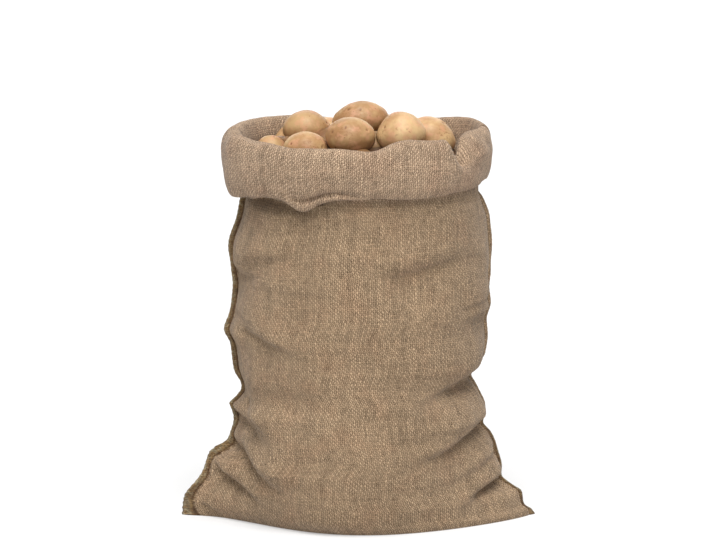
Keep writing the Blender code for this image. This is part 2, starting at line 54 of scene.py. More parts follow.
SEAM_HALF = 0.0028  # half the thickness of the two layers where they are sewn together
SEAM_END = 0.560  # height at which the sewn edge has died out, behind the cuff
EDGE_FADE = 0.03  # the sewn edge dies out over this height
ROOT_ANGLE = 0.024  # half the angle round the sack that the root of the sewn edge takes up
NECK_HEIGHT = 0.545  # the body ends here and the cuff's profile begins

# The body's outline: its height, the depth of the belly at the front and at the back, and how pointed it is
# at the left and right seams: 0.5 is an ellipse's blunt end and over 1 a thin fin, as at the ears.
BODY = (
    (0, 143, 138, 1.72, 0.9), (12, 153, 149, 1.62, 0.9), (40, 164, 160, 1.38, 0.84),
    (80, 170, 167, 1.08, 0.76), (120, 171, 169, 0.8, 0.68), (170, 168, 167, 0.58, 0.58),
    (240, 163, 163, 0.5, 0.52), (310, 161, 161, 0.5, 0.5), (460, 154, 155, 0.5, 0.5),
    (550, 138, 139, 0.5, 0.5),
)
# Of the left seam (-1) and the right seam (1): how far out the root of the sewn edge is at each height, where
# the seam is from front to back, how far the sewn edge stands out, and how many degrees it turns to the back.
SEAM_REACH = {
    -1: (
        (0, 277), (14, 281), (34, 273), (74, 243), (94, 236), (106, 232), (116, 222), (126, 205), (140, 197),
        (164, 191), (190, 197), (202, 186), (214, 179), (250, 190), (290, 196), (314, 206), (340, 198),
        (384, 192), (454, 198), (504, 184), (550, 176),
    ),
    1: (
        (0, 286), (8, 285), (18, 274), (40, 268), (52, 251), (68, 235), (82, 235), (118, 226), (140, 218),
        (158, 205), (182, 206), (218, 195), (238, 184), (254, 192), (272, 206), (300, 211), (328, 209),
        (356, 217), (384, 213), (440, 217), (498, 214), (530, 203), (550, 194),
    ),
}
SEAM_DEPTH = {-1: -0.012, 1: -0.006}
SEAM_WIDTH = {-1: 0.010, 1: 0.007}
EDGE_TURN = {-1: 12, 1: 40}
# The sewn edge is ruffled: it turns this many degrees more or less, in waves this far apart.
RUFFLES = ((16, 0.068), (12, 0.103))
# The scene's own: how much wider than in the solid the sewn edge is at each height. The left one's root lies
# that much further in, and the right one's tip stands out that much further.
EDGE_WIDER = {
    -1: (
        (0, 25), (8, 21), (18, 15.5), (36, 9), (50, 6), (66, 5), (76, 2.5), (90, 0), (98, 1), (106, 12),
        (116, 17), (126, 7), (140, 0),
    ),
    1: ((0, 6.5), (6, 4.5), (14, 0)),
}

# The rolled cuff round the mouth: the angle, the heights of its crest and of its lower edge there, and how
# far it stands out from the neck.
CUFF = (
    (0, 648, 542, 42), (15, 645, 543, 42), (35, 640, 552, 40), (50, 636, 556, 35), (62, 636, 545, 34),
    (80, 635, 556, 33), (92, 630, 557, 33), (112, 643, 555, 34), (129, 644, 557, 34), (138, 627, 558, 30),
    (150, 641, 559, 28), (162, 647, 559, 28), (180, 650, 556, 27), (205, 652, 553, 30), (235, 640, 550, 34),
    (270, 633, 548, 35), (305, 647, 547, 35), (335, 648, 545, 39),
)
# The cloth's path through the cuff, from the neck over the crest, down, under and up inside to its hem: a
# share of the cuff's reach, and a share of its height.
CUFF_PROFILE = (
    (0, -0.06), (0, 0.2), (0.03, 0.5), (0.12, 0.8), (0.34, 0.985), (0.66, 0.985), (0.91, 0.84), (1, 0.6),
    (0.96, 0.34), (0.85, 0.12), (0.66, 0), (0.5, 0.1), (0.44, 0.32), (0.42, 0.6),
)
CUFF_PATH = 0.27  # its length
PROFILE_STEP = 0.01  # share of the path over which its direction is taken
# Where the scene's cuff departs from these: by how much, round which angle, and over how many degrees before
# it and after it.
CREST_HUMPS = (
    (-0.020, 138, 5, 5.5),  # the notch beside the right bulge
    (0.006, 106, 7, 12),
)
LOWER_HUMPS = (
    (-0.011, 62, 9, 8),  # the fold that hangs from the lower edge at the left
    (0.008, 172, 18, 22),
)
FAT_HUMPS = ((0.016, 157, 13, 13),)  # the roll of the right bulge is fatter, towards the middle of the sack

# Creases: each runs from its start past a middle to its end and dies out there, and at its start too unless
# that is in a seam. A row is three angles, each with its height; how far the trough goes in and the swell
# above it out; their widths above and below; how far the swell hangs over; and whether it's from a seam. The
# first two and the left side's first are the scene's own: they lie nearer the photo's than the solid's do.
CREASES = (
    # the right side, from the notch in it down
    (173, 251, 146, 237, 108, 198, 10, 7, 26, 24, 4, False),
    (175, 162, 140, 141, 104, 104, 14, 11, 30, 28, 7, True),
    (176, 67, 149, 53, 124, 23, 11, 9, 20, 22, 3, True),
    # the left side, down to its ear
    (12, 332, 38, 317, 59, 285, 7, 4.5, 28, 26, 2, False),
    (12, 216, 32, 178, 52, 130, 9, 6, 24, 30, 2, False),
    (16, 136, 43, 97, 70, 45, 15, 10, 26, 28, 3, False),
    (10, 92, 37, 66, 58, 26, 9, 6, 16, 18, 2, False),
    # the chest
    (4, 410, 22, 412, 40, 418, 9, 5, 22, 26, 3, True),
    (10, 424, 42, 444, 84, 470, 5, 4, 36, 40, 0, False),
    (98, 416, 122, 437, 160, 466, 7, 5, 30, 36, 1, False),
    (176, 347, 160, 345, 140, 338, 8, 5, 20, 22, 2, True),
    # the back
    (185, 150, 215, 125, 255, 80, 22, 13, 34, 36, 6, True),
    (185, 285, 212, 272, 244, 245, 15, 9, 32, 34, 4, True),
    (355, 165, 325, 135, 288, 85, 21, 13, 34, 36, 6, True),
    (355, 300, 330, 292, 298, 262, 14, 8, 32, 36, 4, True),
    (230, 430, 268, 415, 312, 436, 9, 5, 40, 44, 0, False),
)
SEAM_HOLD = 0.050  # the seams keep their own outline, so the creases start this far from them
# The scene's finer creases, which start this far from the seams.
FINE_CREASES = (
    # high on the left
    (2, 414, 39, 443, 66, 458, 3, 2, 16, 22, 1, True),
    (12, 392, 60, 394, 117, 367, 2, 1.2, 14, 20, 1, False),
    (12, 320, 43, 314, 67, 284, 4.2, 2.8, 12, 16, 1, False),
    (8, 344, 30, 340, 52, 318, 2.2, 1.4, 12, 14, 1, True),
    # the right side, from the cuff down to the ear
    (168, 440, 136, 441, 101, 412, 2.8, 1.8, 20, 26, 1, False),
    (174, 374, 150, 365, 132, 360, 3.5, 2.5, 14, 16, 1, True),
    (177, 239, 149, 231, 124, 209, 4, 3, 10, 12, 1, True),
    (176, 176, 146, 170, 116, 162, 4, 3, 14, 16, 1, True),
    (177, 155, 136, 134, 112, 105, 4, 3, 10, 14, 1, True),
    (176, 112, 150, 96, 122, 62, 5, 3.5, 14, 18, 1, True),
    (177, 72, 148, 56, 128, 28, 5, 3.5, 10, 12, 1, True),
    # the left side above its ear, and the ear
    (2, 181, 29, 163, 49, 134, 8, 5, 14, 18, 2, True),
    (3, 130, 45, 102, 60, 84, 8, 5, 14, 18, 2, True),
    (26, 122, 44, 96, 62, 55, 4, 3, 10, 13, 2, False),
    (10, 93, 38, 65, 58, 24, 5.2, 4.2, 9, 12, 2, False),
    (12, 30, 26, 14, 36, 4, 4, 3, 10, 10, 1, False),
    # the recess under the cuff
    (8, 543, 40, 541, 74, 532, 20, 0, 10, 11, 0, False),
    # the middle of the front
    (84, 505, 99, 470, 104, 400, 3, 1.5, 12, 16, 0, False),
    (70, 210, 92, 196, 116, 206, 1.2, 1, 22, 26, 0, False),
    (62, 330, 88, 318, 118, 328, 1, 0.8, 24, 28, 0, False),
    # the back
    (357, 225, 328, 205, 300, 160, 6, 4, 16, 20, 1, True),
    (184, 215, 214, 198, 246, 150, 6, 4, 16, 20, 1, True),
    (356, 400, 326, 392, 296, 372, 5, 3.5, 18, 22, 1, True),
    (184, 392, 212, 380, 240, 366, 5, 3.5, 18, 22, 1, True),
    (236, 300, 266, 286, 300, 298, 3.5, 2.5, 24, 28, 0, False),
    (240, 60, 268, 48, 300, 62, 4, 3, 18, 22, 0, False),
)
FINE_HOLD = 0.012
# Creases of the cuff. Their heights are distances along the cloth's path from the neck over the crest.
CUFF_CREASES = (
    (134, 80, 139, 112, 147, 160, 10, 6, 16, 12, 0, False),  # the pinch beside the notch
    (148, 128, 158, 140, 172, 128, -4.5, 0, 30, 30, 0, False),  # the swell of the right bulge
    (54, 184, 72, 188, 100, 203, 13, 0, 6, 8, 0, False),  # the line above the hanging fold
    (92, 88, 104, 112, 122, 150, 2.5, 2, 20, 22, 0, False),  # the slack at the front
    (8, 110, 26, 100, 44, 112, 4, 3, 12, 14, 0, False),  # the roll at the left
)
FADE_IN = 0.3  # share of its length over which a crease begins
FADE_OUT = 0.45  # share of its length at which it begins to die out
MEAN_RADIUS = 0.185  # turns an angle round the sack into a distance along the cloth
TROUGH_LIP = 0.35  # the trough's width above its floor, as a share of its width below
PATH_STEPS = 25  # places along a crease from which distances are measured

# Slow lumps that the load presses into the cloth, and the scene's small wrinkles: size across, size up and
# height of each scale of noise.
LUMPS = ((0.085, 0.085, 0.005),)
LUMP_SEED = Vector((3.1, 7.7, 1.9))
LUMP_FREE = 0.4  # angle from a seam at which they have their full height
WRINKLES = ((0.110, 0.050, 0.0018), (0.030, 0.060, 0.0011), (0.030, 0.016, 0.0006), (0.010, 0.010, 0.0004))
WRINKLE_SEED = Vector((11.3, 4.1, 8.6))
CUFF_WAVES = ((0.060, 0.050, 0.0030), (0.040, 0.020, 0.0016), (0.012, 0.012, 0.0005))
CUFF_SEED = Vector((2.2, 9.4, 5.5))
# Nothing moves the cloth off the floor, and creases and lumps have their full depth above this height.
TOE = 0.02

# Each potato's middle and its half sizes along its own length, width and height, in metres; how far its
# length is turned round from +X and tipped up, how much one side is hollowed like a kidney, and how earthy
# its skin is.
POTATOES = (
    ("potato_front_middle", -0.009, -0.077, 0.644, 0.041, 0.034, 0.029, -8, 0, 0.02, 0.9),
    ("potato_front_left", -0.08, -0.073, 0.624, 0.038, 0.031, 0.025, 12, -3, 0.04, 0.65),
    ("potato_front_right", 0.074, -0.07, 0.648, 0.04, 0.034, 0.032, 14, 8, 0.05, 0.35),
    ("potato_middle_left", -0.08, 0.009, 0.644, 0.04, 0.032, 0.027, -6, -4, 0.06, 1),
    ("potato_middle", 0.008, 0.004, 0.662, 0.047, 0.031, 0.025, 6, 7, 0.1, 1),
    ("potato_middle_right", 0.122, -0.016, 0.635, 0.043, 0.032, 0.028, -16, -18, 0.05, 0.4),
    ("potato_left", -0.138, -0.033, 0.616, 0.027, 0.023, 0.021, 30, 0, 0.03, 1),
    ("potato_back_left", -0.1, 0.066, 0.615, 0.036, 0.029, 0.025, 38, 4, 0.05, 0.25),
    ("potato_back_middle_left", -0.045, 0.085, 0.622, 0.04, 0.031, 0.026, -12, 0, 0.05, 0.25),
    ("potato_back_middle_right", 0.045, 0.081, 0.626, 0.041, 0.031, 0.027, 10, 3, 0.04, 0.25),
    ("potato_back_right", 0.125, 0.057, 0.615, 0.037, 0.032, 0.026, -34, 0, 0.04, 0.25),
)


# ---- interpolation
def smooth(places, values, at):
    """A cubic through a table's values that never overshoots between two rows."""
    at = np.clip(np.asarray(at, float), places[0], places[-1])
    steps = np.diff(places)
    slopes = np.diff(values) / steps
    tangents = np.zeros(len(values))
    tangents[0], tangents[-1] = slopes[0], slopes[-1]
    same_way = slopes[:-1] * slopes[1:] > 0
    means = 2 * slopes[:-1] * slopes[1:] / np.where(same_way, slopes[:-1] + slopes[1:], 1)
    tangents[1:-1] = np.where(same_way, means, 0)
    index = np.clip(np.searchsorted(places, at, side="right") - 1, 0, len(steps) - 1)
    step = steps[index]
    s = (at - places[index]) / step
    return (
        values[index] * (1 + 2 * s) * (1 - s) ** 2
        + tangents[index] * step * s * (1 - s) ** 2
        + values[index + 1] * s * s * (3 - 2 * s)
        + tangents[index + 1] * step * s * s * (s - 1)
    )


def smooth_round(angles, values, degrees):
    """The same through values that go once round the sack and close on themselves."""
    angles = np.concatenate([angles[-2:] - 360, angles, angles[:2] + 360])
    values = np.concatenate([values[-2:], values, values[:2]])
    return smooth(angles, values, np.asarray(degrees) % 360)


def at_height(rows, height):
    """The length that a table gives at a height."""
    return smooth(*np.array(rows).T / 1000, height)


def loop_value(values, at):
    """A Catmull-Rom curve through evenly spaced values."""
    at = min(max(at, 0.0), 1.0) * (len(values) - 1)
    i = min(int(at), len(values) - 2)
    s = at - i
    a, b, c, d = (values[min(max(j, 0), len(values) - 1)] for j in (i - 1, i, i + 1, i + 2))
    return b + 0.5 * s * (c - a + s * (2 * a - 5 * b + 4 * c - d + s * (3 * (b - c) + d - a)))


def fade(t):
    """0 at 0 and 1 at 1, level at both ends."""
    t = np.clip(t, 0, 1)
    return t * t * (3 - 2 * t)


def humps(degrees, rows):
    """The sum of rounded humps, each of which ends about twice its distances before and after its middle."""
    return sum(
        size * np.exp(-(((degrees - middle) / np.where(degrees < middle, before, after)) ** 2))
        for size, middle, before, after in rows
    )


def field(points, scales, seed):
    """The sum of noises at points of any shape, each with its size across, its size up and its height."""
    total = np.zeros(points.shape[:-1])
    for across, up, high in scales:
        flat = points.reshape(-1, 3) / (across, across, up)
        total += high * np.array([noise.noise(Vector(p) + seed) for p in flat]).reshape(total.shape)
    return total


# ---- the cloth's shape
def crease_shift(angle, height, rows, hold):
    """How far creases move a place on the cloth: (outward, upward)."""
    outward, upward = np.zeros_like(angle), np.zeros_like(angle)
    for *places, depth, bulge, above, below, droop, starts_in_seam in rows:
        depth, bulge, above, below, droop = (size / 1000 for size in (depth, bulge, above, below, droop))
        points = np.stack([np.radians(places[::2]) * MEAN_RADIUS, np.array(places[1::2]) / 1000], axis=1)
        along, across, nearest = distance_to_path(angle * MEAN_RADIUS, height, points)
        strength = 1 - fade((along - FADE_OUT) / (1 - FADE_OUT))
        if not starts_in_seam:
            strength = strength * fade(along / FADE_IN)
        strength = strength * (1 - fade((nearest - abs(across)) / above))
        strength = strength * fade(from_seam(angle) * MEAN_RADIUS / hold)
        high, low = np.maximum(across, 0), np.maximum(-across, 0)
        trough = np.exp(-((high / (TROUGH_LIP * below)) ** 2)) * np.exp(-((low / below) ** 1.6))
        swell = high / above * np.exp(1 - high / above)
        outward += strength * (bulge * swell - depth * trough)
        upward -= strength * droop * swell
    return outward, upward


def from_seam(angle):
    """The angle to the nearer seam."""
    return np.abs((angle + np.pi / 2) % np.pi - np.pi / 2)


def distance_to_path(x, y, points):
    """For each place, how far along a curve through three points it lies (0 to 1), how far above the curve,
    and its distance from the curve."""
    first, middle, last = points
    handle = 2 * middle - (first + last) / 2
    steps = np.linspace(0, 1, PATH_STEPS)
    shares = (1 - steps) ** 2, 2 * steps * (1 - steps), steps**2
    curve = sum(np.outer(share, point) for share, point in zip(shares, (first, handle, last)))
    turn = np.gradient(curve, axis=0)
    turn /= np.linalg.norm(turn, axis=1)[:, None]
    up = np.stack([-turn[:, 1], turn[:, 0]], axis=1) * np.sign(turn[:, :1])
    from_x = x[..., None] - curve[:, 0]
    from_y = y[..., None] - curve[:, 1]
    distance = np.hypot(from_x, from_y)
    index = distance.argmin(axis=-1)

    def nearest(values):
        return np.take_along_axis(values, index[..., None], -1)[..., 0]

    across = nearest(from_x) * up[index, 0] + nearest(from_y) * up[index, 1]
    return steps[index], across, nearest(distance)


def seam_reach(height, side):
    """How far out the root of a sewn edge is."""
    reach = at_height(SEAM_REACH[side], height)
    return reach if side > 0 else reach - at_height(EDGE_WIDER[side], height)


def edge_width(height, side):
    return SEAM_WIDTH[side] + float(at_height(EDGE_WIDER[side], height))


def edge_way(height, side):
    """Which way a sewn edge stands at a height, and the way square to it."""
    ruffle = sum(turn * math.sin(height * 2 * math.pi / wave + wave) for turn, wave in RUFFLES)
    turn = math.radians(EDGE_TURN[side] + ruffle)
    way = np.array([side * math.cos(turn), math.sin(turn), 0])
    return way, np.array([way[1], -way[0], 0]) * side


def outline(angle, height, inset):
    """A place on the body's smooth outline, inset from its outer face, and the way out of the sack there."""
    heights, *rows = (np.array(BODY) / (1000, 1000, 1000, 1, 1)).T
    front, back, left_point, right_point = (smooth(heights, row, height) for row in rows)
    left, right = (seam_reach(height, side) for side in (-1, 1))
    facing = np.sign(np.sin(angle))
    depth = np.where(facing > 0, front, back)
    angle = past_edge(angle)
    across, ahead = -np.cos(angle), np.sin(angle)
    side = (across + 1) / 2
    point = left_point * (1 - side) + right_point * side
    belly = depth * np.abs(ahead) ** (2 * point) + SEAM_HALF
    half_width = (left + right) / 2
    x = (right - left) / 2 + across * (half_width - inset)
    y = SEAM_DEPTH[-1] * (1 - side) + SEAM_DEPTH[1] * side - facing * (belly - inset)
    out = np.stack([across / half_width, -ahead / depth, np.zeros_like(x)], axis=-1)
    out /= np.linalg.norm(out, axis=-1)[..., None]
    return np.stack([x, y, height * np.ones_like(x)], axis=-1), out


def past_edge(angle):
    """Angles spread so that the outline begins at the root of each sewn edge and not at the seam's middle."""
    near = from_seam(angle)
    spread = np.maximum(near - ROOT_ANGLE, 0) * (np.pi / 2) / (np.pi / 2 - ROOT_ANGLE)
    return np.where(np.sin(2 * angle) > 0, angle - near + spread, angle + near - spread)


def shifted(point, out, height, outward, upward):
    """A place on the body moved outward and upward, but not off the floor."""
    settled = fade(height / TOE)
    point = point + out * (outward * settled)[..., None]
    point[..., 2] += upward * settled
    return point


def body_point(angle, height, inset=0.0):
    """A place on the body's outer face, or about that much inside it, and the way out of the sack there."""
    angle = angle % (2 * np.pi)
    point, out = outline(angle, height, inset)
    outward, upward = crease_shift(angle, height, CREASES, SEAM_HOLD)
    lumps = field(outline(angle, height, 0)[0], LUMPS, LUMP_SEED) * fade(from_seam(angle) / LUMP_FREE)
    return shifted(point, out, height, outward + lumps, upward), out


# ---- the fine sheet
FRONT_COLUMNS = 108  # columns of the fine sheet across the front and across the back, evenly spread
BACK_COLUMNS = 90
NEAR_SEAM = (0.0, 0.0028, 0.0068, 0.0125)  # shares of the width at which closer columns lie, beside each seam
FIRST_ROWS = (0.0, 0.0022)  # heights of the rows at the floor, and of the first of the even rows above them
EVEN_FROM = 0.005
BODY_ROWS = 190
CUFF_LINES = 80
HIDDEN_STEP = 2  # the hidden side of the cuff has every second row, and so has the inside of the body
INNER_STEP = 2
ARC_STEPS = 241  # samples by which a row's columns are evenly spread
SACK_WIDTH = 0.60  # flat, between the side seams

# Section of a sewn edge from its front root round its tip to its back root: share of its width out, and share
# of its half thickness to the front.
EDGE_SECTION = (
    (0.22, 0.86), (0.55, 1.00), (0.86, 0.86), (1.00, 0.42),
    (1.00, -0.42), (0.86, -0.86), (0.55, -1.00), (0.22, -0.86),
)
ROOT_PINCH = 0.40  # the stitches draw the root of the sewn edge in to this share of its thickness
EDGE_GATHER = 0.035  # they gather its edge by this share of its width
STITCH_PITCH = 0.0082  # between two stitches

NECK_SWELL = 0.0095  # the body swells this much under the cuff, between these angles and from this height up
NECK_SWELL_ANGLES = (70, 166)
NECK_SWELL_FADES = (20, 10)  # degrees over which the swell comes and goes
NECK_SWELL_FROM = 0.485
FAT_SHARES = (0.28, 0.36, 0.56)  # of the path, where the fat roll is full, begins to end and has ended
JOIN_SHARE = 0.14  # share of the path over which the neck's swell dies out in the cuff
STILL_SHARES = (0.18, 0.1)  # shares at its two ends over which the cuff's creases and waves fade
CUFF_GROOVE = 0.0042  # depth and width of the groove of each side seam across the cuff
CUFF_SEAM = 0.0012  # the seam shows darker this far to either side
BAND_PALE = 0.06  # the right sewn edge above this height is nearly the cloth's own tone
BAND_DARK_UP_TO = 0.17
INNER_FLOOR = 1.3  # the inside of the body stays this many thicknesses of cloth above the floor
BOTTOM_UV = 3.0  # metres by which the bottom's faces are moved aside on the map of the threads


def column_shares(count):
    """Shares of the width at which columns lie: even, with a few closer ones beside each seam."""
    near = np.array(NEAR_SEAM)
    return np.concatenate([near, np.linspace(0, 1, count + 1)[3:-3], 1 - near[::-1]])


def arc_angles(heights, shares, start):
    """Angles of the columns at these shares of each row's length, from the seam at the start angle on."""
    angles = np.linspace(start + ROOT_ANGLE, start + np.pi - ROOT_ANGLE, ARC_STEPS)
    rows = []
    for height in heights:
        points = outline(angles, np.full_like(angles, height), 0)[0]
        length = path_length(points[:, None])
        rows.append(np.interp(shares * length[-1], length, angles))
    return np.array(rows)


def path_length(grid):
    """Mean distance along the cloth from a grid's first row to each of its rows."""
    steps = np.linalg.norm(np.diff(grid, axis=0), axis=-1).mean(axis=1)
    return np.concatenate([[0], np.cumsum(steps)])


def neck_swell(angle):
    (low, high), (come, go) = NECK_SWELL_ANGLES, NECK_SWELL_FADES
    degrees = np.degrees(angle)
    return NECK_SWELL * fade((degrees - low) / come) * (1 - fade((degrees - high) / go))


def wrinkled(angle, height):
    """The body's outer face with the scene's finer creases and wrinkles."""
    point, out = body_point(angle, height)
    outward, upward = crease_shift(angle, height, FINE_CREASES, FINE_HOLD)
    small = field(point, WRINKLES, WRINKLE_SEED) * fade(from_seam(angle) / LUMP_FREE)
    swell = neck_swell(angle) * fade((height - NECK_SWELL_FROM) / (NECK_HEIGHT - NECK_SWELL_FROM))
    return shifted(point, out, height, outward + small + swell, upward)


def cuff_grid(angles):
    """The cuff over these angles: grids of its hidden and of its shown face, from the neck to the hem."""
    neck, out = body_point(angles, np.full_like(angles, NECK_HEIGHT), CLOTH / 2)
    degrees = np.degrees(angles)
    places, *rows = (np.array(CUFF) / (1, 1000, 1000, 1000)).T
    crest, lower, reach = (smooth_round(places, row, degrees) for row in rows)
    crest = crest + humps(degrees, CREST_HUMPS)
    lower = lower + humps(degrees, LOWER_HUMPS)
    out_shares, up_shares = np.array(CUFF_PROFILE).T
    shares = np.linspace(0, 1, CUFF_LINES)

    def path(values, shift=0.0):
        return np.array([loop_value(values, share + shift) for share in shares])[:, None]

    full, ending, ended = FAT_SHARES
    fat = fade(shares / full) * (1 - fade((shares - ending) / (ended - ending)))
    below = neck_swell(angles) * (1 - fade(shares / JOIN_SHARE))[:, None]
    moved = reach * path(out_shares) - humps(degrees, FAT_HUMPS) * fat[:, None] + below
    middle = neck + out * moved[..., None]
    middle[..., 2] = lower + (crest - lower) * path(up_shares)
    run = reach * (path(out_shares, PROFILE_STEP) - path(out_shares, -PROFILE_STEP))
    rise = (crest - lower) * (path(up_shares, PROFILE_STEP) - path(up_shares, -PROFILE_STEP))
    normal = -out * (rise / np.hypot(run, rise))[..., None]
    normal[..., 2] = run / np.hypot(run, rise)

    share = np.broadcast_to(shares[:, None], middle.shape[:2])
    along = np.broadcast_to(angles, middle.shape[:2])
    wave = field(middle, CUFF_WAVES, CUFF_SEED)
    fold, _ = crease_shift(along, share * CUFF_PATH, CUFF_CREASES, FINE_HOLD)
    groove = CUFF_GROOVE * np.exp(-((from_seam(along) * MEAN_RADIUS / CUFF_GROOVE) ** 2))
    still = fade(share / STILL_SHARES[0]) * fade((1 - share) / STILL_SHARES[1])
    middle = middle + normal * ((wave + fold - groove) * still)[..., None]
    return middle - normal * CLOTH / 2, middle + normal * CLOTH / 2


def with_edges(front, back, heights, width_share):
    """A front and a back grid closed to rings by the sewn edges, which have these shares of their width."""
    rings = []
    for ahead, behind, height, share in zip(front, back, heights, width_share):
        ahead, behind = ahead.copy(), behind.copy()
        gather = 1 + EDGE_GATHER * math.sin(height * 2 * math.pi / STITCH_PITCH)
        edges = []
        for front_end, back_end, side in ((-1, 0, 1), (0, -1, -1)):
            middle = (ahead[front_end] + behind[back_end]) / 2
            across = (ahead[front_end] - behind[back_end]) / 2
            way, square = edge_way(height, side)
            square = square * np.linalg.norm(across)
            reach = edge_width(height, side) * share * gather
            edges.append(np.array([
                middle + way * reach * far + (across * (1 - share) + square * share) * thick
                for far, thick in EDGE_SECTION
            ]))
            pinch = 1 - (1 - ROOT_PINCH) * share
            ahead[front_end] = middle + across * pinch
            behind[back_end] = middle - across * pinch
        rings.append(np.concatenate([ahead, edges[0], behind, edges[1][::-1]]))
    return np.array(rings)


def inner_face(front, back):
    """The inside of the body: its outer face moved in by the cloth's thickness."""
    moved = []
    for grid in (front, back):
        normal = np.cross(np.gradient(grid, axis=1), np.gradient(grid, axis=0))
        normal /= np.maximum(np.linalg.norm(normal, axis=-1), 1e-9)[..., None]
        inside = grid - normal * CLOTH
        inside[0, :, 2] = CLOTH
        inside[1:, :, 2] = np.maximum(inside[1:, :, 2], CLOTH * INNER_FLOOR)
        moved.append(inside)
    return with_edges(*moved, np.zeros(len(front)), np.zeros(len(front)))


def sack_rings():
    """The rings of the fine sheet with each one's distance up the cloth and whether it is the cuff, each
    column's distance round the cloth with the whole way round, and how far each point is a sewn edge."""
    heights = np.concatenate([FIRST_ROWS, np.linspace(EVEN_FROM, NECK_HEIGHT - 0.001, BODY_ROWS)])
    shares = column_shares(FRONT_COLUMNS), column_shares(BACK_COLUMNS)
    angles = [arc_angles(heights, share, start) for share, start in zip(shares, (0, np.pi))]
    front, back = (wrinkled(grid, np.broadcast_to(heights[:, None], grid.shape)) for grid in angles)
    outer = with_edges(front, back, heights, fade((SEAM_END - heights) / EDGE_FADE))
    climb = path_length(outer)

    faces = [cuff_grid(grid[-1]) for grid in angles]
    flat = np.zeros(CUFF_LINES)
    hidden, shown = (with_edges(faces[0][side], faces[1][side], flat, flat) for side in (0, 1))
    rolled = path_length(shown) + climb[-1] + np.linalg.norm(shown[0] - outer[-1], axis=-1).mean()

    keep = np.concatenate([[0, 1], np.arange(2, len(heights) - 1, INNER_STEP), [len(heights) - 1]])
    inner = inner_face(front[keep], back[keep])
    thin = np.arange(CUFF_LINES)[::-HIDDEN_STEP]
    rings = np.concatenate([inner, shown, hidden[thin], outer[::-1]])
    path = np.concatenate([climb[keep], rolled, rolled[thin], climb[::-1]])
    cuff = np.concatenate([np.zeros(len(keep)), np.ones(CUFF_LINES + len(thin)), np.zeros(len(climb))])

    widest = 2 * SEAM_WIDTH[-1]  # of cloth in each sewn edge
    edge = SACK_WIDTH + np.linspace(0, widest, len(EDGE_SECTION) + 2)[1:-1]
    turn = SACK_WIDTH + widest
    round_way = np.concatenate([shares[0] * SACK_WIDTH, edge, turn + shares[1] * SACK_WIDTH, turn + edge])
    rim = np.array([(1 + far) / 2 for far, _ in EDGE_SECTION])
    sewn = np.concatenate([np.zeros(len(shares[0])), rim, np.zeros(len(shares[1])), rim])
    right = slice(len(shares[0]), len(shares[0]) + len(rim))
    pale = np.ones((len(rings), len(sewn)))
    pale[:, right] = np.where(rings[:, right, 2] < BAND_DARK_UP_TO, 1, BAND_PALE)
    seam = np.zeros_like(sewn)
    for run, share in ((0, shares[0]), (right.stop, shares[1])):
        seam[run:run + len(share)] = np.minimum(share, 1 - share) * SACK_WIDTH < CUFF_SEAM
    sewn = np.where(cuff[:, None] > 0, np.maximum(sewn, seam) / 2, sewn * pale)
    return rings, path, cuff, round_way, 2 * turn, sewn


def linked(name, data):
    made = bpy.data.objects.new(name, data)
    bpy.context.scene.collection.objects.link(made)
    return made


def make_sack():
    """The whole sheet as one closed mesh, with its threads' directions as UVs in metres."""
    rings, path, cuff, round_way, whole_round, sewn = sack_rings()
    levels, count = rings.shape[:2]
    index = np.arange(levels * count).reshape(levels, count)
    low, high = index[:-1], index[1:]
    quads = np.stack([low, high, np.roll(high, -1, 1), np.roll(low, -1, 1)], axis=-1).reshape(-1, 4)
    data = bpy.data.meshes.new("sack_cloth")
    ends = [index[0].tolist(), index[-1, ::-1].tolist()]
    data.from_pydata(rings.reshape(-1, 3).tolist(), [], quads.tolist() + ends)

    here, there = round_way, np.concatenate([round_way[1:], [whole_round]])
    corners = levels - 1, count, 4
    u = np.broadcast_to(np.stack([here, here, there, there], axis=-1), corners)
    v = np.broadcast_to(np.stack([path[:-1], path[1:], path[1:], path[:-1]], axis=-1)[:, None], corners)
    bottom = np.concatenate([rings[0, :, :2], rings[-1, ::-1, :2]]) + BOTTOM_UV
    loops = np.concatenate([np.stack([u, v], axis=-1).reshape(-1, 2), bottom])
    data.uv_layers.new(name="cloth").data.foreach_set("uv", loops.ravel().astype(np.float32))
    for name, values in (("cuff", np.repeat(cuff, count)), ("sewn", sewn.ravel())):
        data.attributes.new(name, "FLOAT", "POINT").data.foreach_set("value", values.astype(np.float32))
    data.validate()
    data.update()
    data.shade_smooth()
    return linked("sack_cloth", data)


# ---- the stitches
STITCH_RADIUS = 0.00055
STITCH_START = 0.012  # heights of the first one and the last
STITCH_END = SEAM_END - EDGE_FADE * 1.1
STITCH_MIDDLE = 0.0024  # how far from the root of the sewn edge they run, and how far to either side
STITCH_REACH = 0.0026
STITCH_STEPS = 18  # points of thread in each turn round the sewn edge
STITCH_SIDES = 6
STITCH_LOOSE = (0.10, 0.2)  # how unequal they are: share of the pitch, and of their reach
STITCH_LIFT = 0.45  # the thread's middle lies this share of its radius outside the cloth
STITCH_FLAT = 0.7  # power that lays the thread flat on both faces


